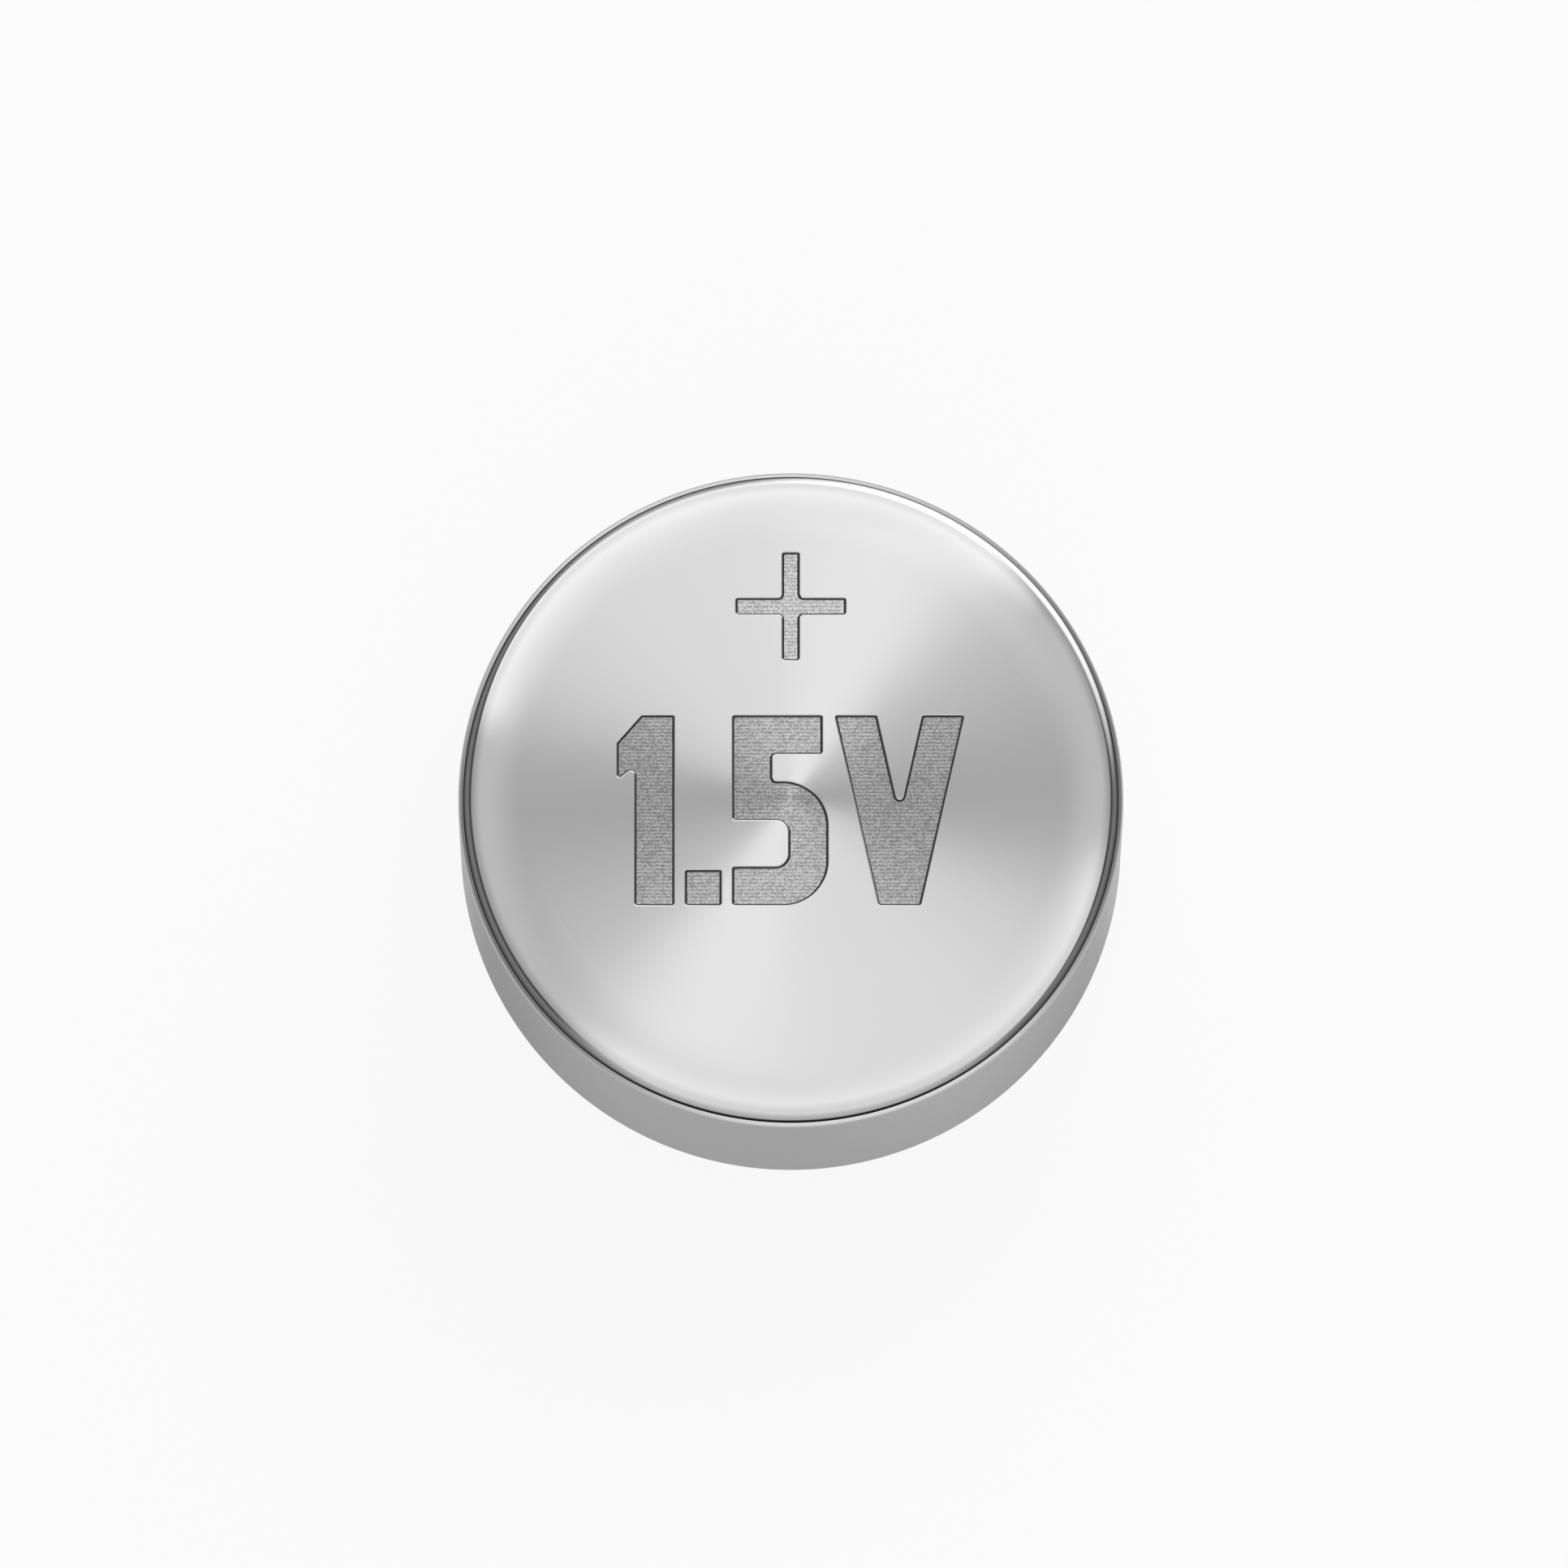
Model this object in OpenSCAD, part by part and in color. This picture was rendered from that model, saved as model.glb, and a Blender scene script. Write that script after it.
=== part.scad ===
// Alkaline button cell, standing on its negative contact. +Z is the cell's axis. The positive face,
// with its sunk marks, is on top, and the plus sign lies towards +Y. Sizes are in millimetres.

/* [Cell] */
// Outside diameter
cell_d = 11.6; // [11.4:0.05:11.8]
// Height over both contacts
cell_h = 5.4; // [5.2:0.05:5.6]

/* [Positive can] */
// Thickness of the can's sheet
can_wall = 0.25; // [0.22:0.01:0.26]
// Diameter of the flat part of the positive face
face_d = 9.1; // [8.8:0.1:9.4]
// Slope that the face's crowned edge has reached at the corner, in degrees
crown_turn = 8; // [5:1:10]
// Outer radius of the corner between the face and the side wall
corner_r = 0.28; // [0.27:0.01:0.34]
// Outer radius of the crimped bend
crimp_r = 0.4; // [0.36:0.01:0.46]
// Angle that the crimp turns the side wall through, in degrees
crimp_turn = 80; // [75:1:85]
// Straight lip past the crimped bend
lip_run = 0.36; // [0.3:0.01:0.4]
// Height of the lip's edge above the negative contact
lip_rise = 0.2; // [0.15:0.01:0.25]

/* [Negative cap] */
// Thickness of the cap's sheet
cap_wall = 0.2; // [0.18:0.01:0.22]
// Diameter of the flat negative contact
contact_d = 9; // [8.8:0.05:9.05]
// Outer radius of the corner round the contact
cap_corner_r = 0.35; // [0.3:0.01:0.4]
// Straight neck between that corner and the step
neck_run = 0.27; // [0.2:0.01:0.32]
// Length of the step's slope
step_run = 0.13; // [0.1:0.01:0.15]
// Gap left inside the folded edge
fold_gap = 0.04; // [0.03:0.01:0.06]
// Length of the edge that is folded back outside the skirt
return_run = 1.55; // [1:0.05:1.6]

/* [Seal and filling] */
// Thickness of the gasket's foot, which the cap stands in
foot_t = 0.3; // [0.25:0.01:0.35]
// Inner diameter of the gasket's foot
foot_inner_d = 9.6; // [9.5:0.05:9.65]
// Height of the cathode pellet
pellet_h = 1.9; // [1.7:0.05:2]
// Thickness of the cathode ring's sheet
ring_t = 0.15; // [0.12:0.01:0.18]
// Inner diameter of the cathode ring
ring_inner_d = 9.4; // [9:0.1:9.8]
// Height of the cathode ring
ring_h = 0.8; // [0.5:0.05:1]
// Thickness of the separator membrane
membrane_t = 0.1; // [0.08:0.01:0.12]
// Clearance round the two separator discs
disc_gap = 0.05; // [0.03:0.01:0.08]

/* [Marks] */
// Depth of the sunk marks
mark_depth = 0.05; // [0.03:0.01:0.08]
// Distance from the cell's axis to the middle of the plus sign
plus_y = 3.38; // [3.3:0.01:3.45]
// Length of the plus sign's bars
plus_size = 1.95; // [1.6:0.05:2]
// Width of the plus sign's bars
plus_bar = 0.33; // [0.25:0.01:0.4]
// Corner radius of the plus sign's bars
plus_round = 0.06; // [0.03:0.01:0.1]
// Distance from the cell's axis to the middle of the voltage mark, which lies towards -Y
voltage_y = 0.235; // [0.2:0.01:0.3]
// Height of the voltage mark's characters
char_h = 3.4; // [3.2:0.05:3.5]
// Stroke width of its characters
stroke = 0.72; // [0.6:0.01:0.76]
// Space between its characters
char_gap = 0.16; // [0.12:0.01:0.2]
// Radius that takes the sharpness off its corners
char_round = 0.06; // [0.03:0.01:0.08]

/* [Hidden] */
$fn = 128;

cell_r = cell_d / 2;
bore_r = cell_r - can_wall;
face_z = cell_h - can_wall;

// The face's crowned edge is an arc tangent to the flat and to the corner.
crown_r = corner_r + (cell_r - corner_r - face_d / 2) / sin(crown_turn);
corner_end = crown_r * (1 - cos(crown_turn)) + corner_r * cos(crown_turn);
crimp_drop = crimp_r * sin(crimp_turn) + lip_run * cos(crimp_turn);
wall_run = cell_h - lip_rise - corner_end - crimp_drop;

// Levels of the stack inside, counted down from the face.
pellet_z = face_z - pellet_h;
membrane_z = pellet_z - membrane_t;
foot_z = membrane_z - foot_t;
absorbent_t = foot_t;

// The cap's step turns out and back through the same angle.
step_turn = 45;
step_inner_r = 0.1;
step_outer_r = 0.3;
step_h = (step_inner_r + step_outer_r) * sin(step_turn) + step_run * cos(step_turn);
step_out = (step_inner_r + step_outer_r) * (1 - cos(step_turn)) + step_run * sin(step_turn);
fold_h = fold_gap / 2 + cap_wall;
skirt_r = contact_d / 2 + cap_corner_r + step_out;
skirt_run = foot_z - fold_h - cap_corner_r - neck_run - step_h;

// A formed sheet is a list of [run, radius, turn]: a straight run along the sheet's outer face, then
// a bend through turn degrees, whose radius is the outer face's own. The outer face is on the right
// of the way, so a turn to the left, above 0, closes the cup and a turn to the right opens it.
can_path = [[face_d / 2, crown_r, crown_turn], [0, corner_r, 90 - crown_turn],
            [wall_run, crimp_r, crimp_turn], [lip_run, 0, 0]];
cap_cup = [[contact_d / 2, cap_corner_r, 90], [neck_run, step_inner_r, -step_turn],
           [step_run, step_outer_r, step_turn]];
cap_path = concat(cap_cup, [[skirt_run, fold_gap / 2, -180], [return_run, 0, 0]]);

// How far neighbouring pieces of a formed sheet lap.
lap = 0.00002;

function ahead(a) = [cos(a), sin(a)];
function left_of(a) = [-sin(a), cos(a)];

// Where a bend that starts at [0, 0] along +X turns about.
function pivot(r, turn) = [0, r * sign(turn)];

// Points along the middle of a formed sheet.
function middle(path, t, i = 0, at = [0, 0], a = 0) =
    i == len(path) ? [] :
    let (run = path[i][0], r = path[i][1], turn = path[i][2])
    let (out = r * sign(turn), bend_at = at + run * ahead(a), centre = bend_at + out * left_of(a))
    concat([at + t / 2 * left_of(a), bend_at + t / 2 * left_of(a)],
           [for (k = [1 : 4]) centre - (out - t / 2) * left_of(a + turn * k / 4)],
           middle(path, t, i + 1, centre - out * left_of(a + turn), a + turn));

// The region between the axis and the middle of a formed sheet.
module within(path, t) {
    line = middle(path, t);
    polygon(concat([[0, line[0][1]]], line, [[0, line[len(line) - 1][1]]]));
}

// One bend of a sheet of thickness t.
module bend(r, t, turn) {
    inner = turn > 0 ? r - t : r;
    reach = 2 * (inner + t);
    start = turn > 0 ? -90 : 90;
    translate(pivot(r, turn))
        intersection() {
            difference() {
                circle(inner + t);
                circle(inner);
            }
            polygon(concat([[0, 0]], [for (k = [0 : 4]) reach * ahead(start + turn * k / 4)]));
        }
}

// The section of a formed sheet of thickness t. Each run laps over its neighbours, to leave no gap.
module sheet(path, t, i = 0) {
    run = path[i][0];
    r = path[i][1];
    turn = path[i][2];
    start = i > 0 ? -lap : 0;
    translate([start, 0])
        square([run + lap - start, t]);
    if (turn != 0)
        translate([run, 0]) {
            bend(r, t, turn);
            if (i + 1 < len(path))
                translate(pivot(r, turn) - r * sign(turn) * left_of(turn))
                    rotate(turn)
                        sheet(path, t, i + 1);
        }
}

module can_section() {
    translate([0, cell_h])
        mirror([0, 1])
            sheet(can_path, can_wall);
}

// The space that the can encloses, down to the middle of its lip.
module can_inside() {
    difference() {
        translate([0, cell_h])
            mirror([0, 1])
                within(can_path, can_wall);
        can_section();
    }
}

module cap_section() {
    sheet(cap_path, cap_wall);
}

// The cup's hollow, up to the level of its folded edge.
module cap_hollow() {
    difference() {
        within(concat(cap_cup, [[skirt_run + fold_h, 0, 0]]), cap_wall);
        cap_section();
    }
}

// Everything inside the cap's outer faces, with the gap in its fold.
module cap_filled() {
    cap_section();
    within(concat(cap_cup, [[skirt_run + fold_h, 0, 0]]), cap_wall);
    translate([skirt_r - cap_wall / 2, foot_z - fold_h - return_run])
        square([cap_wall + fold_gap, return_run + fold_h / 2]);
}

// A flat ring or disc section from radius r1 to r2, with its underside at z.
module band(r1, r2, z, h) {
    translate([r1, z])
        square([r2 - r1, h]);
}

function unit(v) = v / norm(v);

// The arc that rounds corner b, given as [x, y, radius], between its neighbours a and c.
function corner_arc(a, b, c) =
    let (p = [b[0], b[1]], u = unit([a[0], a[1]] - p), v = unit([c[0], c[1]] - p))
    let (half = acos(u * v) / 2, centre = p + b[2] / sin(half) * unit(u + v))
    let (from = p + b[2] / tan(half) * u - centre, to = p + b[2] / tan(half) * v - centre)
    let (start = atan2(from[1], from[0]), turn = (180 - 2 * half) * sign(cross(from, to)))
    let (steps = ceil((180 - 2 * half) / 15))
    [for (k = [0 : steps]) centre + b[2] * ahead(start + turn * k / steps)];

// A closed outline with every corner rounded by its own radius.
module outline(corners) {
    n = len(corners);
    polygon([for (i = [0 : n - 1])
             each corner_arc(corners[(i + n - 1) % n], corners[i], corners[(i + 1) % n])]);
}

// Each arm adds its two outer corners and the inner corner on its left.
module plus_sign() {
    long = plus_size / 2;
    wide = plus_bar / 2;
    outline([for (a = [0 : 90 : 270], p = [[long, -wide], [long, wide], [wide, wide]])
             [p[0] * cos(a) - p[1] * sin(a), p[0] * sin(a) + p[1] * cos(a), plus_round]]);
}

one_w = stroke + 0.31;
module one() {
    r = char_round;
    outline([[one_w - stroke, 0, r], [one_w, 0, r], [one_w, char_h, r], [0.44, char_h, r],
             [0, char_h - 0.5, r], [0, char_h - 1.2, r], [one_w - stroke, char_h - 0.95, r]]);
}

point_w = stroke * 0.92;
module point() {
    r = char_round;
    outline([[0, 0, r], [point_w, 0, r], [point_w, point_w, r], [0, point_w, r]]);
}

five_w = 1.7;
module five() {
    r = char_round;
    bowl_r = 0.8;
    hollow_r = 0.22;
    bowl_h = char_h - stroke - 0.45;
    arm = five_w - 0.1;
    outline([[0, 0, r], [five_w, 0, bowl_r], [five_w, bowl_h, bowl_r], [stroke, bowl_h, r],
             [stroke, char_h - stroke, r], [arm, char_h - stroke, r], [arm, char_h, r], [0, char_h, r],
             [0, bowl_h - stroke, r], [five_w - stroke, bowl_h - stroke, hollow_r],
             [five_w - stroke, stroke, hollow_r], [0, stroke, r]]);
}

vee_w = 2.3;
module vee() {
    r = char_round;
    foot = 0.38;
    arm = stroke * 1.06;
    lean = (vee_w / 2 - foot) / char_h;
    notch = char_h - (vee_w / 2 - arm) / lean;
    outline([[vee_w / 2 - foot, 0, r], [vee_w / 2 + foot, 0, r], [vee_w, char_h, r],
             [vee_w - arm, char_h, r], [vee_w / 2, notch, r], [arm, char_h, r], [0, char_h, r]]);
}

// The nominal voltage, set out from left to right about the origin.
module voltage() {
    point_x = one_w + char_gap;
    five_x = point_x + point_w + char_gap;
    vee_x = five_x + five_w + char_gap / 2;
    translate([-(vee_x + vee_w) / 2, -char_h / 2]) {
        one();
        translate([point_x, 0])
            point();
        translate([five_x, 0])
            five();
        translate([vee_x, 0])
            vee();
    }
}

// Drawn steel cup: flat face with a crowned edge, side wall and crimped lip.
module positive_can() {
    color("#d6d6d6")
        difference() {
            rotate_extrude()
                can_section();
            translate([0, 0, cell_h - mark_depth])
                linear_extrude(2 * mark_depth) {
                    translate([0, plus_y])
                        plus_sign();
                    translate([0, -voltage_y])
                        voltage();
                }
        }
}

// Stepped cup of clad sheet, its edge folded back outside the skirt.
module negative_cap() {
    color("#c9c8c4")
        rotate_extrude()
            cap_section();
}

// Nylon seal: it fills the space between can and cap, and its foot holds the folded edge.
module gasket() {
    color("#e8e6dc")
        rotate_extrude()
            difference() {
                intersection() {
                    can_inside();
                    square([cell_r, membrane_z]);
                }
                cap_filled();
                band(0, foot_inner_d / 2, foot_z - fold_h, fold_h + foot_t);
            }
}

// L-section of the ring, let into the edge of the pellet. The pellet's own cut runs out to cell_r.
module ring_section(outer_r = bore_r) {
    band(ring_inner_d / 2, outer_r, pellet_z, ring_t);
    band(bore_r - ring_t, outer_r, pellet_z, ring_h);
}

module cathode_ring() {
    color("#b9b9b5")
        rotate_extrude()
            ring_section();
}

// Pressed pellet that fills the can's end and follows the inside of its face.
module cathode_pellet() {
    color("#26262a")
        rotate_extrude()
            difference() {
                can_inside();
                square([cell_r, pellet_z]);
                ring_section(cell_r);
            }
}

// Thin film across the pellet, held at its edge by the gasket's foot.
module separator_membrane() {
    color("#dfd2a8")
        rotate_extrude()
            band(0, bore_r - disc_gap, membrane_z, membrane_t);
}

// Nonwoven disc inside the gasket's foot.
module absorbent_disc() {
    color("#f0eee6")
        rotate_extrude()
            band(0, foot_inner_d / 2 - disc_gap, foot_z, absorbent_t);
}

// Gelled zinc that fills the cap's cup.
module zinc_anode() {
    color("#7d8084")
        rotate_extrude()
            intersection() {
                cap_hollow();
                square([skirt_r - cap_wall, foot_z]);
            }
}

positive_can();
negative_cap();
gasket();
cathode_pellet();
cathode_ring();
separator_membrane();
absorbent_disc();
zinc_anode();
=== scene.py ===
"""Looks for the alkaline button cell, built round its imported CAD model.

Sizes are in millimetres and angles in degrees until a mesh, a lamp or the camera is made. The frame is
the part's own: z = 0 is the negative contact, +Z runs up to the positive face, and the plus sign lies
towards +Y.
"""
import math

import bpy
import bmesh
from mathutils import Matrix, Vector, geometry


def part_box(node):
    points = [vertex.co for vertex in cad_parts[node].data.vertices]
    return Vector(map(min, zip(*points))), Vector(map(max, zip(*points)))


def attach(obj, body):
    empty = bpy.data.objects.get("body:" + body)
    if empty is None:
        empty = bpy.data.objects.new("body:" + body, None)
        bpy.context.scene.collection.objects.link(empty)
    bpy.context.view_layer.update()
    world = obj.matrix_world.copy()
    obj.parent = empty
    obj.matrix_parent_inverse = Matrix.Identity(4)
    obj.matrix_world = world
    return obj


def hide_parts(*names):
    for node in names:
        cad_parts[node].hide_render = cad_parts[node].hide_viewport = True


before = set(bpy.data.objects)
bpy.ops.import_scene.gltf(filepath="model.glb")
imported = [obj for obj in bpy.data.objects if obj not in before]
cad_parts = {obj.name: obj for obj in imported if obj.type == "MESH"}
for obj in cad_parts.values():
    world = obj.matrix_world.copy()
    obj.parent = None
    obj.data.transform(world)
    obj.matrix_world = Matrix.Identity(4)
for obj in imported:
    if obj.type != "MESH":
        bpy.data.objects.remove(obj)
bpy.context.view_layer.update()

MM = 0.001

# ---------------------------------------------------------------- sizes, as in part.scad

cell_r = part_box("positive_can")[1].x / MM
cell_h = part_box("positive_can")[1].z / MM

can_wall = 0.25
face_d = 9.1
crown_turn = 8
corner_r = 0.28
crimp_r = 0.4
crimp_turn = 80
lip_run = 0.36
lip_rise = 0.2

cap_wall = 0.2
contact_d = 9
cap_corner_r = 0.35
neck_run = 0.27
step_run = 0.13
step_turn = 45
step_inner_r = 0.1
step_outer_r = 0.3
fold_gap = 0.04
return_run = 1.55
disc_gap = 0.05

mark_depth = 0.05
plus_y = 3.38
plus_size = 1.95
plus_bar = 0.33
plus_round = 0.06
voltage_y = 0.235
char_h = 3.4
stroke = 0.72
char_gap = 0.16
char_round = 0.06


def sin(degrees):
    return math.sin(math.radians(degrees))


def cos(degrees):
    return math.cos(math.radians(degrees))


crown_r = corner_r + (cell_r - corner_r - face_d / 2) / sin(crown_turn)
corner_end = crown_r * (1 - cos(crown_turn)) + corner_r * cos(crown_turn)
crimp_drop = crimp_r * sin(crimp_turn) + lip_run * cos(crimp_turn)
wall_run = cell_h - lip_rise - corner_end - crimp_drop

step_h = (step_inner_r + step_outer_r) * sin(step_turn) + step_run * cos(step_turn)
fold_h = fold_gap / 2 + cap_wall
foot_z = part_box("absorbent_disc")[0].z / MM
skirt_run = foot_z - fold_h - cap_corner_r - neck_run - step_h

# A formed sheet is a list of (run, radius, turn): a straight run along the sheet's outer face, then a
# bend through turn degrees. A turn above 0 closes the cup and a turn below 0 opens it.
can_path = [(face_d / 2, crown_r, crown_turn), (0, corner_r, 90 - crown_turn),
            (wall_run, crimp_r, crimp_turn), (lip_run, 0, 0)]
cap_path = [(contact_d / 2, cap_corner_r, 90), (neck_run, step_inner_r, -step_turn),
            (step_run, step_outer_r, step_turn), (skirt_run, fold_gap / 2, -180), (return_run, 0, 0)]

# ---------------------------------------------------------------- sections and meshes

ROUND = 360          # vertices round a turned surface
SAG = 0.0002         # how far a bend's chords may lie from the true arc
MARGIN = 0.02        # width of the strip that keeps a bend's shading off the flat beside it
RIM_BACK = 0.1       # distance from a cup's bend to the one ring of points on its flat middle
EDGE_ROUND = 0.03    # radius that takes the sharpness off a sheet's edge
SAME = 1e-5          # distance within which two points are one
SHARP = 35           # two faces that meet at a greater angle show an edge


def ahead(turned):
    return Vector((cos(turned), sin(turned)))


def left_of(turned):
    return Vector((-sin(turned), cos(turned)))


def sheet_line(path, depth):
    """Points along a formed sheet, depth under its outer face, from the axis to the sheet's edge."""
    at, turned, line = Vector((0, 0)), 0, []
    for run, radius, turn in path:
        start, end = at, at + run * ahead(turned)
        if run > 2 * MARGIN:
            along = [0, MARGIN, run - MARGIN] if line else [0, run - RIM_BACK]
            line += [start + step * ahead(turned) + depth * left_of(turned) for step in along]
        at = end
        if turn:
            out = math.copysign(radius, turn)
            centre = end + out * left_of(turned)
            chord = 2 * math.degrees(math.acos(1 - SAG / (radius + can_wall)))
            steps = math.ceil(abs(turn) / chord)
            line += [centre - (out - depth) * left_of(turned + turn * k / steps)
                     for k in range(steps)]
            turned += turn
            at = centre - out * left_of(turned)
    return line + [at + depth * left_of(turned)]


def sheet_section(path, thickness):
    """The closed section of a formed sheet, with its edge rounded off a little."""
    outer = sheet_line(path, 0)
    inner = sheet_line(path, thickness)
    return outer[:-1] + rounded_end(outer[-2:], inner[-2:], EDGE_ROUND) + inner[-2::-1]


def rounded_end(outer, inner, radius):
    """The sheet's edge between the ends of its two faces, with both corners rounded."""
    back = (outer[0] - outer[1]).normalized()
    across = (inner[1] - outer[1]).normalized()
    points = []
    for corner, side in ((outer[1], across), (inner[1], -across)):
        arc = [corner + radius * (back * (1 - sin(a)) + side * (1 - cos(a))) for a in range(0, 91, 15)]
        points += arc if side is across else arc[::-1]
    return points


def lathe(section):
    """A bmesh turned from a closed section of (radius, height) points, with the axis at X = Y = 0."""
    bm = bmesh.new()
    rings = []
    for radius, height in section:
        if radius < SAME:
            rings.append([bm.verts.new((0, 0, height))] * ROUND)
            continue
        turns = [360 * k / ROUND for k in range(ROUND)]
        rings.append([bm.verts.new((radius * cos(a), radius * sin(a), height)) for a in turns])
    for low, high in zip(rings, rings[1:] + rings[:1]):
        for k in range(ROUND):
            corners = (low[k], low[k - 1], high[k - 1], high[k])
            different = list(dict.fromkeys(corners))
            if len(different) > 2:
                bm.faces.new(different)
    return bm


def finish_mesh(name, bm, materials, pick=None):
    """Makes an object from a bmesh in millimetres. pick gives a face's material by its centre."""
    bmesh.ops.remove_doubles(bm, verts=bm.verts, dist=SAME)
    bmesh.ops.recalc_face_normals(bm, faces=bm.faces)
    bmesh.ops.scale(bm, vec=(MM, MM, MM), verts=bm.verts)
    mesh = bpy.data.meshes.new(name)
    bm.to_mesh(mesh)
    bm.free()
    for material in materials:
        mesh.materials.append(material)
    for face in mesh.polygons:
        face.use_smooth = True
        if pick:
            face.material_index = pick(face.center / MM)
    mesh.set_sharp_from_angle(angle=math.radians(SHARP))
    piece = bpy.data.objects.new(name, mesh)
    bpy.context.scene.collection.objects.link(piece)
    return piece


# ---------------------------------------------------------------- sunk marks

# A mark's edge, from the face down to its floor: a rounded lip, a slope and a rounded foot.
MARK_SLOPE = 60
LIP_R = 0.035
LIP_DROP = 0.008     # depth of the lip's polished part
FOOT_R = 0.01
CHORD = 0.03         # length of the chords round a mark's corner
LEAST_TURN = 3       # the least and the most that one of them may turn
MOST_TURN = 15


def mark_profile():
    """(outward offset from the mark's outline, depth) down the edge, which runs inwards from the
    outline and has a flat margin at each end."""
    lip = [(LIP_R * sin(a), LIP_R * (1 - cos(a))) for a in range(0, MARK_SLOPE + 1, 10)]
    foot = [(FOOT_R * sin(a), FOOT_R * (1 - cos(a))) for a in range(0, MARK_SLOPE + 1, 10)]
    slope_drop = mark_depth - lip[-1][1] - foot[-1][1]
    run = lip[-1][0] + foot[-1][0] + slope_drop / math.tan(math.radians(MARK_SLOPE))
    down = [(-across, drop) for across, drop in lip]
    up = [(across - run, mark_depth - drop) for across, drop in reversed(foot)]
    return [(MARGIN, 0)] + down + up + [(-run - MARGIN / 5, mark_depth)]


def rounded_outline(corners):
    """(point, outward normal) round an outline whose corners are (x, y, radius), anticlockwise."""
    count = len(corners)
    found = []
    for i, (x, y, radius) in enumerate(corners):
        here = Vector((x, y))
        before = (Vector(corners[i - 1][:2]) - here).normalized()
        after = (Vector(corners[(i + 1) % count][:2]) - here).normalized()
        half = before.angle(after) / 2
        centre = here + radius / math.sin(half) * (before + after).normalized()
        start = here + radius / math.tan(half) * before - centre
        turn = 180 - 2 * math.degrees(half)
        bulges = after.cross(before) > 0
        chord_turn = max(LEAST_TURN, min(MOST_TURN, math.degrees(CHORD / radius)))
        steps = math.ceil(turn / chord_turn)
        for k in range(steps + 1):
            a = math.atan2(start.y, start.x) + math.radians(turn * k / steps) * (1 if bulges else -1)
            away = Vector((math.cos(a), math.sin(a)))
            found.append((centre + radius * away, away if bulges else -away))
    return found


def plus_sign():
    long, wide = plus_size / 2, plus_bar / 2
    arm = [(long, -wide), (long, wide), (wide, wide)]
    return [(x * cos(a) - y * sin(a), x * sin(a) + y * cos(a), plus_round)
            for a in (0, 90, 180, 270) for x, y in arm]


# Each character is its width and its corners, with its lower left at 0, 0.

def one():
    flag = 0.31
    tip_x, tip_h, under_h, notch_h = 0.44, 0.5, 1.2, 0.95
    width = stroke + flag
    points = [(flag, 0), (width, 0), (width, char_h), (tip_x, char_h), (0, char_h - tip_h),
              (0, char_h - under_h), (flag, char_h - notch_h)]
    return width, [(x, y, char_round) for x, y in points]


def point():
    width = stroke * 0.92
    return width, [(x, y, char_round) for x, y in ((0, 0), (width, 0), (width, width), (0, width))]


def five():
    r = char_round
    width = 1.7
    bowl_r = 0.8
    hollow_r = 0.22
    bowl_h = char_h - stroke - 0.45
    arm = width - 0.1
    return width, [(0, 0, r), (width, 0, bowl_r), (width, bowl_h, bowl_r), (stroke, bowl_h, r),
                   (stroke, char_h - stroke, r), (arm, char_h - stroke, r), (arm, char_h, r),
                   (0, char_h, r), (0, bowl_h - stroke, r),
                   (width - stroke, bowl_h - stroke, hollow_r), (width - stroke, stroke, hollow_r),
                   (0, stroke, r)]


def vee():
    width = 2.3
    foot = 0.38
    arm = stroke * 1.06
    lean = (width / 2 - foot) / char_h
    notch = char_h - (width / 2 - arm) / lean
    points = [(width / 2 - foot, 0), (width / 2 + foot, 0), (width, char_h), (width - arm, char_h),
              (width / 2, notch), (arm, char_h), (0, char_h)]
    return width, [(x, y, char_round) for x, y in points]


def marks():
    """The corner lists of all marks, in place on the face."""
    characters = [one(), point(), five(), vee()]
    gaps = [char_gap, char_gap, char_gap / 2, 0]
    total = sum(width for width, _ in characters) + sum(gaps)
    placed = [[(x, y + plus_y, r) for x, y, r in plus_sign()]]
    left = -total / 2
    for (width, corners), gap in zip(characters, gaps):
        placed.append([(x + left, y - char_h / 2 - voltage_y, r) for x, y, r in corners])
        left += width + gap
    return placed


def surrounds(loop, x, y):
    """Whether the closed loop goes round the point."""
    inside = False
    for (x0, y0), (x1, y1) in zip(loop, loop[1:] + loop[:1]):
        if (y0 > y) != (y1 > y) and x < x0 + (x1 - x0) * (y - y0) / (y1 - y0):
            inside = not inside
    return inside


def fill_flat(bm, height, outer, holes=()):
    """Fills the region inside the outer loop and outside the holes with flat triangles. The
    triangulation fills the holes too, so their triangles are passed over."""
    loops = [outer, *holes]
    points = [Vector(p) for loop in loops for p in loop]
    edges, first = [], 0
    for loop in loops:
        edges += [(first + k, first + (k + 1) % len(loop)) for k in range(len(loop))]
        first += len(loop)
    inside_loops, epsilon = 1, 1e-6
    flat, _, triangles, *_ = geometry.delaunay_2d_cdt(points, edges, [], inside_loops, epsilon)
    verts = [bm.verts.new((p.x, p.y, height)) for p in flat]
    for triangle in triangles:
        centre = sum((flat[i] for i in triangle), Vector((0, 0))) / 3
        if not any(surrounds(hole, *centre) for hole in holes):
            bm.faces.new([verts[i] for i in triangle])


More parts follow.
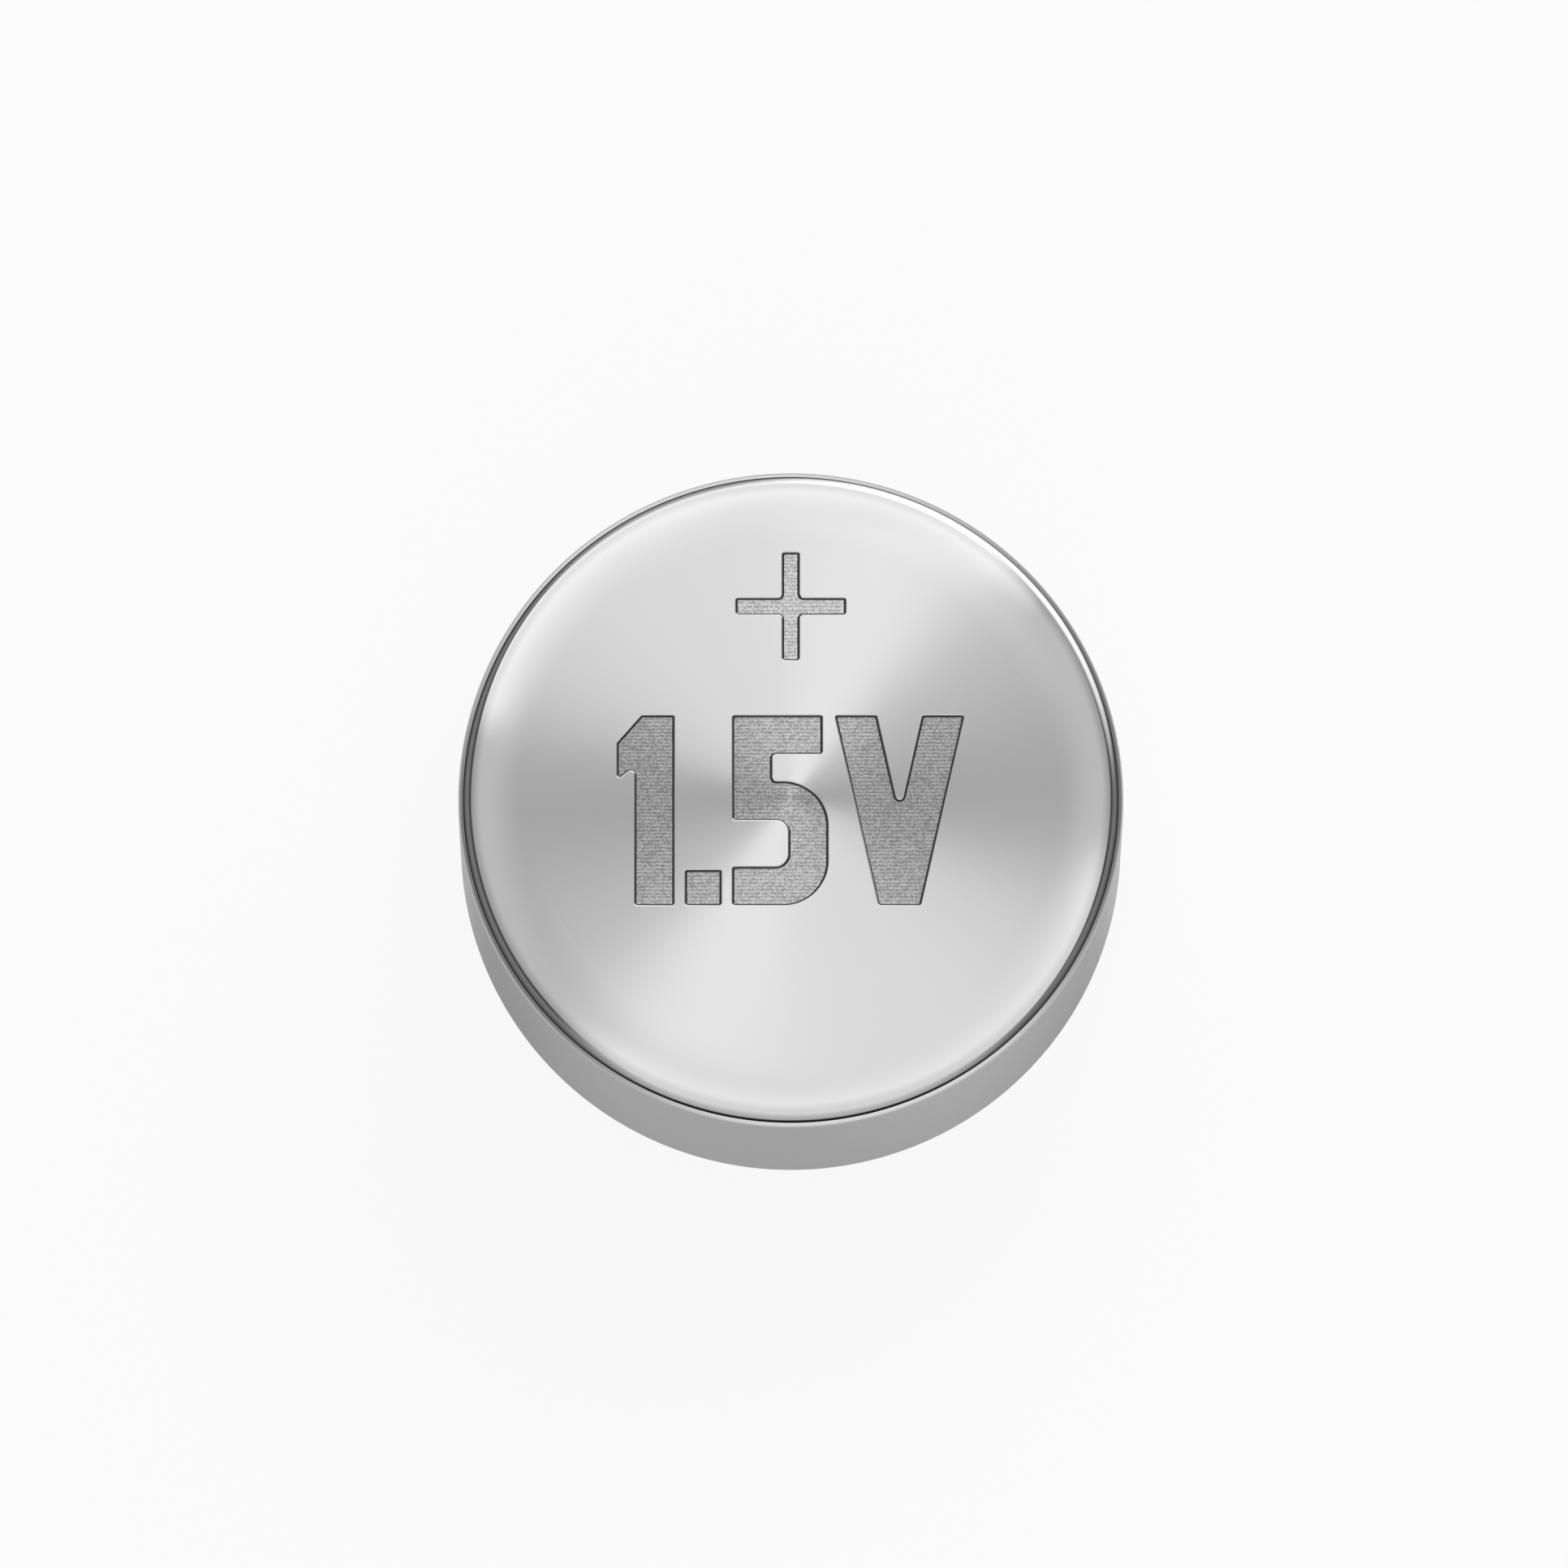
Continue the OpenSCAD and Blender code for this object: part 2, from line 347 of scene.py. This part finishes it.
def sink_marks(bm, rim_r):
    """Closes the face inside rim_r, with the marks sunk in it."""
    profile = mark_profile()
    holes = []
    for corners in marks():
        outline = rounded_outline(corners)
        loops = [[p + grow * normal for p, normal in outline] for grow, _ in profile]
        rings = [[bm.verts.new((p.x, p.y, cell_h - depth)) for p in loop]
                 for loop, (_, depth) in zip(loops, profile)]
        for upper, lower in zip(rings, rings[1:]):
            for k in range(len(upper)):
                bm.faces.new((upper[k - 1], upper[k], lower[k], lower[k - 1]))
        fill_flat(bm, cell_h - mark_depth, loops[-1])
        holes.append(loops[0])
    rim = [(rim_r * cos(360 * k / ROUND), rim_r * sin(360 * k / ROUND)) for k in range(ROUND)]
    fill_flat(bm, cell_h, rim, holes)


# ---------------------------------------------------------------- materials

class Tree:
    """A node tree that is added to by calls. An input is a number, a colour or another node's output."""

    def __init__(self, owner):
        owner.use_nodes = True
        self.nodes = owner.node_tree.nodes
        self.links = owner.node_tree.links

    def find(self, kind):
        return next(n for n in self.nodes if n.type == kind)

    def feed(self, node, inputs):
        for name, value in inputs.items():
            socket = node.inputs[name]
            if isinstance(value, bpy.types.NodeSocket):
                self.links.new(value, socket)
            else:
                socket.default_value = value

    def add(self, kind, inputs=None, **settings):
        node = self.nodes.new("ShaderNode" + kind)
        for name, value in settings.items():
            setattr(node, name, value)
        self.feed(node, inputs or {})
        return node

    def math(self, operation, *values):
        return self.add("Math", dict(enumerate(values)), operation=operation).outputs[0]

    def between(self, value, low, high, at_low=0.0, at_high=1.0):
        """value taken smoothly from at_low, where it is low or less, to at_high."""
        inputs = {"Value": value, "From Min": low, "From Max": high, "To Min": at_low,
                  "To Max": at_high}
        return self.add("MapRange", inputs, interpolation_type="SMOOTHSTEP").outputs[0]

    def place(self):
        """The place on the piece, in millimetres."""
        where = self.add("TexCoord").outputs["Object"]
        return self.add("VectorMath", {0: where, "Scale": 1 / MM}, operation="SCALE").outputs[0]

    def coordinate(self, axis, place):
        return self.add("SeparateXYZ", {0: place}).outputs[axis]

    def radius(self, place):
        flat = self.add("VectorMath", {0: place, 1: (1, 1, 0)}, operation="MULTIPLY").outputs[0]
        return self.add("VectorMath", {0: flat}, operation="LENGTH").outputs["Value"]

    def noise(self, place, scale, detail=2.0, stretch=None):
        """Noise from 0 to 1 whose features are about 1 / scale millimetres, stretched by axis."""
        if stretch:
            place = self.add("VectorMath", {0: place, 1: stretch}, operation="MULTIPLY").outputs[0]
        inputs = {"Vector": place, "Scale": scale, "Detail": detail}
        return self.add("TexNoise", inputs).outputs[0]

    def grain(self, along, scale):
        """Noise along one number, for lines that run across it."""
        inputs = {"W": along, "Scale": scale, "Detail": 3.0}
        return self.add("TexNoise", inputs, noise_dimensions="1D").outputs[0]

    def mixed(self, factor, dark, light):
        return self.add("Mix", {"Factor": factor, 6: dark, 7: light}, data_type="RGBA").outputs[2]

    def bump(self, height, depth, normal=None):
        """A normal from a height of 0 to 1, which stands for depth millimetres."""
        inputs = {"Height": height, "Distance": depth * MM, "Strength": 1.0}
        if normal:
            inputs["Normal"] = normal
        return self.add("Bump", inputs).outputs[0]


def new_material(name):
    material = bpy.data.materials.new(name)
    tree = Tree(material)
    return material, tree, tree.find("BSDF_PRINCIPLED")


def grey(level):
    return (level, level, level, 1)


PLATING = 0.62       # reflectance of the nickel plating
FACE_REFLECTANCE_PAINTED_LIGHT = 0.775       # its reflectance on the face, set above the plating's own as painted light that lightens the face
SATIN = 0.27         # roughness of the positive face
POLISH = 0.07        # roughness of the corner and the side wall
GLANCING = 0.86      # share of its gloss that the plating keeps at a glancing angle


def plated_face():
    """Nickel plating over a face that the press has left with a fine grain round the axis. Past its
    flat middle, the face grows more polished towards the corner. Up to the corner its colour is lighter
    than the wall's: painted light."""
    material, tree, shader = new_material("plated_face")
    place = tree.place()
    radius = tree.radius(place)
    flat_ends, corner_starts = face_d / 2, cell_r - corner_r
    cloud = tree.noise(place, 0.6)
    rings = tree.grain(radius, 14)
    dents = tree.noise(place, 0.35, 1)
    tree.feed(shader, {
        # Painted light: up to the corner the face gets a higher reflectance than the wall, which
        # lightens it.
        "Base Color": tree.between(tree.math("MULTIPLY_ADD", cloud, 0.04, radius), corner_starts - 0.1,
                                   corner_starts + 0.06, FACE_REFLECTANCE_PAINTED_LIGHT, PLATING),
        "Metallic": 1.0,
        "Roughness": tree.between(radius, flat_ends + 0.1, corner_starts, SATIN, POLISH),
        "Anisotropic": 1.0,
        "Anisotropic Rotation": 0.25,
        "Normal": tree.bump(rings, 0.00002, tree.bump(dents, 0.02)),
    })
    return material


def plated_wall():
    """The same plating where the sheet was drawn, with faint lines along the draw. Seen almost edge on,
    its gloss is halved: painted shade that darkens the wall's left and right ends in view."""
    turning_away, edge_on = 0.84, 0.96
    material, tree, shader = new_material("plated_wall")
    place = tree.place()
    cloud = tree.noise(place, 0.8)
    lines = tree.noise(place, 8, stretch=(1, 1, 0.05))
    facing = tree.add("LayerWeight", {"Blend": 0.5}).outputs["Facing"]
    tree.feed(shader, {
        "Base Color": tree.mixed(cloud, grey(PLATING - 0.01), grey(PLATING + 0.01)),
        "Metallic": 1.0,
        # Painted shade: the gloss is halved where the wall turns edge on to the view, which darkens its
        # left and right ends.
        "Specular Tint": tree.between(facing, turning_away, edge_on, GLANCING, GLANCING / 2),
        "Roughness": tree.between(lines, 0.3, 0.7, POLISH - 0.01, POLISH + 0.02),
        "Normal": tree.bump(lines, 0.0002),
    })
    return material


def mark_floor():
    """The sunk marks under their lips: slopes darkened with painted shade, and a matt floor with fine
    lines and a sparkle. The plus sign's floor is the lighter one."""
    line_pitch, line_height = 0.062, 0.35     # in millimetres, and as a share of the sparkle's height
    floor_z = cell_h - mark_depth
    voltage_ends, plus_starts = char_h / 2 - voltage_y, plus_y - plus_size / 2
    material, tree, shader = new_material("mark_floor")
    place = tree.place()
    y, z = tree.coordinate("Y", place), tree.coordinate("Z", place)
    wander = tree.noise(place, 4, 1, stretch=(0.1, 1, 1))
    turns = tree.math("MULTIPLY_ADD", wander, 0.6, tree.math("DIVIDE", y, line_pitch))
    lines = tree.math("SINE", tree.math("MULTIPLY", turns, 2 * math.pi))
    sparkle = tree.between(tree.noise(place, 30, 1), 0.35, 0.65)
    height = tree.math("MULTIPLY_ADD", lines, line_height, sparkle)
    upper = tree.between(height, -line_height, 1 + line_height)
    in_plus = tree.between(y, voltage_ends, plus_starts)
    shade = tree.mixed(upper, tree.mixed(in_plus, grey(0.32), grey(0.4)),
                       tree.mixed(in_plus, grey(0.64), grey(0.75)))
    # Painted shade: the slopes down into the marks are coloured near black, as if shaded inside the
    # recess.
    slope_painted_shade = tree.between(z, floor_z + 0.002, floor_z + 0.012)
    tree.feed(shader, {
        "Base Color": tree.mixed(slope_painted_shade, shade, grey(0.13)),
        "Metallic": 1.0,
        "Roughness": 0.38,
        "Anisotropic": 0.8,
        "Anisotropic Rotation": 0.25,
        "Normal": tree.bump(height, 0.0015),
    })
    return material


def clad_cap():
    """Nickel-clad sheet of the cap, with the fine round lines of its pressing."""
    material, tree, shader = new_material("clad_cap")
    place = tree.place()
    rings = tree.grain(tree.radius(place), 10)
    cloud = tree.noise(place, 0.7)
    tree.feed(shader, {
        "Base Color": tree.mixed(cloud, (0.60, 0.59, 0.575, 1), (0.64, 0.63, 0.615, 1)),
        "Metallic": 1.0,
        "Specular Tint": grey(GLANCING),
        "Roughness": tree.between(cloud, 0.3, 0.7, 0.24, 0.3),
        "Anisotropic": 0.7,
        "Anisotropic Rotation": 0.25,
        "Normal": tree.bump(rings, 0.0003),
    })
    return material


def moulded_nylon():
    """Off-white nylon, a little clouded, with the faint texture of its mould."""
    material, tree, shader = new_material("moulded_nylon")
    place = tree.place()
    cloud = tree.noise(place, 1.2)
    skin = tree.noise(place, 14)
    tree.feed(shader, {
        "Base Color": tree.mixed(cloud, (0.72, 0.70, 0.62, 1), (0.80, 0.78, 0.70, 1)),
        "Roughness": tree.between(skin, 0.3, 0.7, 0.36, 0.46),
        "Subsurface Weight": 0.2,
        "Subsurface Scale": 0.4 * MM,
        "Normal": tree.bump(skin, 0.001),
    })
    return material


def pressed_mix():
    """Pressed black cathode mix: dull, with fine graphite specks."""
    material, tree, shader = new_material("pressed_mix")
    place = tree.place()
    grains = tree.noise(place, 9, 4)
    specks = tree.between(tree.noise(place, 20, 1), 0.62, 0.7)
    tree.feed(shader, {
        "Base Color": tree.mixed(specks, tree.mixed(grains, grey(0.012), grey(0.03)), grey(0.16)),
        "Metallic": specks,
        "Roughness": tree.between(grains, 0.3, 0.7, 0.6, 0.85),
        "Normal": tree.bump(grains, 0.02),
    })
    return material


def stamped_ring():
    """Stamped nickel-plated steel, satin, with drawn lines round the axis."""
    material, tree, shader = new_material("stamped_ring")
    place = tree.place()
    lines = tree.grain(tree.math("ADD", tree.radius(place), tree.coordinate("Z", place)), 12)
    tree.feed(shader, {
        "Base Color": tree.mixed(lines, grey(0.48), grey(0.56)),
        "Metallic": 1.0,
        "Roughness": tree.between(lines, 0.3, 0.7, 0.28, 0.4),
        "Normal": tree.bump(lines, 0.001),
    })
    return material


def cellulose_film():
    """Thin cellulose film: yellowish, faintly glossy and a little wrinkled."""
    material, tree, shader = new_material("cellulose_film")
    place = tree.place()
    cloud = tree.noise(place, 1.5, 4)
    tree.feed(shader, {
        "Base Color": tree.mixed(cloud, (0.52, 0.42, 0.22, 1), (0.66, 0.57, 0.36, 1)),
        "Roughness": tree.between(cloud, 0.3, 0.7, 0.3, 0.45),
        "Normal": tree.bump(cloud, 0.02),
    })
    return material


def nonwoven():
    """Damp nonwoven fibre, its strands lying in two directions."""
    material, tree, shader = new_material("nonwoven")
    place = tree.place()
    strands = tree.math("MAXIMUM", tree.noise(place, 9, stretch=(0.12, 1, 1)),
                        tree.noise(place, 9, stretch=(1, 0.12, 1)))
    tree.feed(shader, {
        "Base Color": tree.mixed(tree.between(strands, 0.45, 0.75), (0.62, 0.60, 0.54, 1),
                                 (0.84, 0.83, 0.79, 1)),
        "Roughness": tree.between(strands, 0.45, 0.75, 0.95, 0.7),
        "Normal": tree.bump(strands, 0.04),
    })
    return material


def zinc_gel():
    """Grey gel full of zinc grains."""
    material, tree, shader = new_material("zinc_gel")
    place = tree.place()
    grains = tree.between(tree.noise(place, 7, 2), 0.42, 0.58)
    tree.feed(shader, {
        "Base Color": tree.mixed(grains, (0.10, 0.105, 0.11, 1), (0.36, 0.37, 0.39, 1)),
        "Metallic": tree.between(grains, 0.0, 1.0, 0.0, 0.8),
        "Roughness": tree.between(grains, 0.0, 1.0, 0.18, 0.45),
        "Normal": tree.bump(grains, 0.03),
    })
    return material


# ---------------------------------------------------------------- pieces

def add(piece, node):
    """Puts a piece on the cell in place of its CAD node."""
    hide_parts(node)
    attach(piece, "root")


def build_can():
    """The can, with the marks sunk in its face."""
    section = [(p.x, cell_h - p.y) for p in sheet_section(can_path, can_wall)]
    rim_r = face_d / 2 - RIM_BACK
    flat_z = cell_h - SAG
    inside_z = cell_h - can_wall * 0.9
    bm = lathe(section)
    middle = [f for f in bm.faces if f.calc_center_median().z > flat_z
              and f.calc_center_median().xy.length < rim_r]
    bmesh.ops.delete(bm, geom=middle, context="FACES")
    sink_marks(bm, rim_r)

    face, wall, floor = 0, 1, 2

    def pick(centre):
        if centre.xy.length > cell_r - corner_r or centre.z < inside_z:
            return wall
        if centre.xy.length > rim_r or centre.z > flat_z:
            return face
        return wall if centre.z > cell_h - LIP_DROP else floor

    materials = [plated_face(), plated_wall(), mark_floor()]
    add(finish_mesh("can_drawn", bm, materials, pick), "positive_can")


def build_cap():
    """The cap, whose skirt is folded back on itself."""
    section = [(p.x, p.y) for p in sheet_section(cap_path, cap_wall)]
    add(finish_mesh("cap_formed", lathe(section), [clad_cap()]), "negative_cap")


def build_gasket():
    """The seal between can and cap. Its one visible face, between lip and neck, bulges a little."""
    bulge, steps = 0.03, 12
    bore_r = cell_r - can_wall
    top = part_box("gasket")[1].z / MM
    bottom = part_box("gasket")[0].z / MM
    foot_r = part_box("absorbent_disc")[1].x / MM + disc_gap
    bore = [(p.x, cell_h - p.y) for p in sheet_line(can_path, can_wall) if cell_h - p.y < top]
    lip_r = bore[-1][0]
    neck_r = contact_d / 2 + cap_corner_r
    face = [(lip_r + (neck_r - lip_r) * k / steps, bottom + bulge * (1 - sin(180 * k / steps)))
            for k in range(steps + 1)]
    outside = [(p.x, p.y) for p in sheet_line(cap_path, 0)]
    fold = [(p.x, p.y) for p in sheet_line(cap_path, cap_wall)]
    edge_z = fold[-1][1]
    neck = [(r, z) for r, z in outside if r >= neck_r - SAME and bottom + bulge < z < edge_z
            and r < fold[-1][0] - cap_wall - fold_gap / 2]
    skirt_r = neck[-1][0]
    crown = [(r, z) for r, z in reversed(fold) if r > skirt_r and z > edge_z - SAME]
    section = [(bore_r, top), *bore, *face, *neck, (skirt_r, edge_z), *crown,
               (skirt_r, foot_z), (foot_r, foot_z), (foot_r, top)]
    add(finish_mesh("gasket_moulded", lathe(section), [moulded_nylon()]), "gasket")


def dress_filling():
    """The pieces sealed inside keep their CAD shape."""
    makers = {"cathode_pellet": pressed_mix, "cathode_ring": stamped_ring,
              "separator_membrane": cellulose_film, "absorbent_disc": nonwoven,
              "zinc_anode": zinc_gel}
    for node, maker in makers.items():
        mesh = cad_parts[node].data
        mesh.materials.clear()
        mesh.materials.append(maker())


build_can()
build_cap()
build_gasket()
dress_filling()

# ---------------------------------------------------------------- light, floor and camera

# The camera looks down on the cell along +Y, VIEW_TILT from straight above, so what the face mirrors to
# it lies VIEW_TILT past straight up. The studio is set out round that middle: a broad soft box behind,
# another in front, and dim sides between them. Each has its levels of light by the tilt away from it.
VIEW_TILT = 10.15
VIEW_DISTANCE = 521               # from the picture's middle to the camera
VIEW_WIDTH = 27.47                # width of the picture at the cell
VIEW_CENTRE = (-0.1186, 0.6995)   # the picture's middle from the cell's, to the right and up
BRIGHTEST = 2.0                   # light that a ramp's white stands for
BACK_BOX = [(0, 0.66), (15, 1.17), (28, 1.45), (50, 0.55), (75, 0.3), (90, 0.3)]
FRONT_BOX = [(0, 0.66), (15, 1.05), (28, 1.05), (50, 0.75), (73, 0.62), (82, 0.04), (90, 0.02)]
SIDES = [(0, 0.66), (15, 0.65), (28, 0.05), (50, 0.3), (75, 0.15), (90, 0.15)]
BACK_TURN = 105                   # direction of the back box, from +X
FRONT_TURN = 290                  # direction of the front box near the middle
FRONT_SWING = -19                 # how far that direction has turned by NARROW's second tilt
NARROW = (15, 50)                 # tilts between which the boxes grow narrower
GLOW_TURN = 54                    # direction and tilt of the glow round the key light
GLOW_TILT = 54


def light_studio():
    """The world's light: the soft boxes and the glow, with less of both towards the horizon."""
    glow_light, glow_core, glow_spread = 1.4, 12, 38
    horizon_share, horizon_height = 0.03, 21
    world = bpy.data.worlds.new("studio")
    bpy.context.scene.world = world
    tree = Tree(world)
    direction = tree.add("TexCoord").outputs["Generated"]
    turned = tree.add("VectorRotate", {"Vector": direction, "Angle": math.radians(VIEW_TILT)},
                      rotation_type="X_AXIS").outputs[0]
    parts = tree.add("SeparateXYZ", {0: turned}).outputs
    tilt = tree.math("DIVIDE", tree.math("ARCCOSINE", parts["Z"]), math.pi / 2)  # 1 at 90 degrees

    def level(stops):
        """The light by the tilt, from (degrees, light) pairs."""
        ramp = tree.add("ValToRGB", {"Fac": tilt})
        elements = ramp.color_ramp.elements
        elements.remove(elements[0])
        for i, (degrees, light) in enumerate(stops):
            stop = elements.new(degrees / 90) if i else elements[0]
            stop.position = degrees / 90
            stop.color = grey(light / BRIGHTEST)
        return ramp.outputs[0]

    def narrowing(at_first, at_second):
        return tree.between(tilt, NARROW[0] / 90, NARROW[1] / 90, at_first, at_second)

    def inside(turn, wide, narrow, softness):
        """1 inside a box and 0 outside. The cosine of the angle to its edge runs from wide to narrow."""
        angle = tree.math("SUBTRACT", tree.math("ARCTAN2", parts["Y"], parts["X"]), turn)
        edge = narrowing(wide, narrow)
        return tree.between(tree.math("COSINE", angle), edge, tree.math("ADD", edge, softness))

    # Both boxes narrow as the tilt grows, and the front one swings to the left.
    in_back = inside(math.radians(BACK_TURN), wide=0.4, narrow=0.84, softness=0.18)
    front_turn = narrowing(math.radians(FRONT_TURN), math.radians(FRONT_TURN + FRONT_SWING))
    in_front = inside(front_turn, wide=0.32, narrow=0.63, softness=0.33)
    boxes = tree.mixed(in_front, tree.mixed(in_back, level(SIDES), level(BACK_BOX)), level(FRONT_BOX))
    box_light = tree.add("SeparateColor", {"Color": boxes}).outputs[0]

    middle = (cos(GLOW_TURN) * sin(GLOW_TILT), sin(GLOW_TURN) * sin(GLOW_TILT), cos(GLOW_TILT))
    near = tree.add("VectorMath", {0: turned, 1: middle}, operation="DOT_PRODUCT").outputs["Value"]
    glow = tree.between(near, cos(glow_spread), cos(glow_core), 0, glow_light)

    height = tree.add("SeparateXYZ", {0: direction}).outputs["Z"]
    horizon = tree.between(height, 0, sin(horizon_height), horizon_share, 1.0)
    light = tree.math("MULTIPLY_ADD", box_light, BRIGHTEST, glow)
    tree.feed(tree.find("BACKGROUND"), {
        "Color": grey(1),
        "Strength": tree.math("MULTIPLY", light, horizon),
    })


def add_key_light():
    """A round soft source at the back right, far enough off to light everything evenly."""
    azimuth, tilt, spread, radiance = 54, 56, 10, 0.5
    data = bpy.data.lights.new("key", "SUN")
    data.angle = math.radians(2 * spread)
    data.energy = radiance * math.pi * sin(spread) ** 2
    lamp = bpy.data.objects.new("key", data)
    way = Vector((cos(azimuth) * sin(tilt), sin(azimuth) * sin(tilt), cos(tilt)))
    lamp.rotation_euler = way.to_track_quat("Z", "Y").to_euler()
    bpy.context.scene.collection.objects.link(lamp)


def paper():
    """White paper with a faint tooth, which also glows to the eye, and in the metal, where it glows less
    near the cell. Away from the cell, the metal mirrors light ends, below the boxes, and dark sides."""
    seen_glow, near_glow, away_glow = 0.9, 0.26, 0.9
    light_end, dark_side = 1.15, 0.25
    away = (7.5, 16)     # distances from the middle between which the ends and sides come in
    material, tree, shader = new_material("paper")
    place = tree.place()
    tree.feed(shader, {
        "Base Color": tree.mixed(tree.noise(place, 3, 3), grey(0.94), grey(0.96)),
        "Roughness": 1.0,
        "Specular IOR Level": 0.0,
    })
    path = tree.add("LightPath").outputs
    seen = path["Is Camera Ray"]
    mirrored = tree.math("MAXIMUM", path["Is Glossy Ray"], path["Is Transmission Ray"])
    distance = tree.radius(place)
    turn = tree.math("ARCTAN2", tree.coordinate("Y", place), tree.coordinate("X", place))
    turn = tree.math("SUBTRACT", turn, math.radians(BACK_TURN))
    ends = tree.math("COSINE", tree.math("MULTIPLY", turn, 2))
    mirrored_light = tree.between(distance, *away, 1, tree.between(ends, -1, 1, dark_side, light_end))
    mirrored_glow = tree.between(distance, *away, near_glow, away_glow)
    light = tree.math("MAXIMUM", seen, tree.math("MULTIPLY", mirrored, mirrored_light))
    glow = tree.math("MAXIMUM", tree.math("MULTIPLY", seen, seen_glow),
                     tree.math("MULTIPLY", mirrored, mirrored_glow))
    lit = tree.add("Emission", {"Color": grey(1), "Strength": light}).outputs[0]
    both = tree.add("MixShader", {0: glow, 1: shader.outputs[0], 2: lit})
    tree.links.new(both.outputs[0], tree.find("OUTPUT_MATERIAL").inputs["Surface"])
    return material


def add_floor():
    """A round sheet of paper that reaches past every view, a hair under the cell."""
    reach, gap = 1200, 0.01
    bm = bmesh.new()
    bmesh.ops.create_circle(bm, cap_ends=True, segments=96, radius=reach)
    floor = finish_mesh("floor", bm, [paper()])
    floor.location.z = -gap * MM


def add_camera():
    """A long lens, whose picture is VIEW_WIDTH wide where it is aimed."""
    data = bpy.data.cameras.new("camera")
    data.lens = data.sensor_width * VIEW_DISTANCE / VIEW_WIDTH
    camera = bpy.data.objects.new("camera", data)
    back = Vector((0, -sin(VIEW_TILT), cos(VIEW_TILT)))
    up = Vector((0, cos(VIEW_TILT), sin(VIEW_TILT)))
    aim = Vector((VIEW_CENTRE[0], 0, cell_h / 2)) + VIEW_CENTRE[1] * up
    camera.location = (aim + VIEW_DISTANCE * back) * MM
    camera.rotation_euler = back.to_track_quat("Z", "Y").to_euler()
    bpy.context.scene.collection.objects.link(camera)
    bpy.context.scene.camera = camera


light_studio()
add_key_light()
add_floor()
add_camera()
bpy.context.scene.view_settings.view_transform = "Standard"
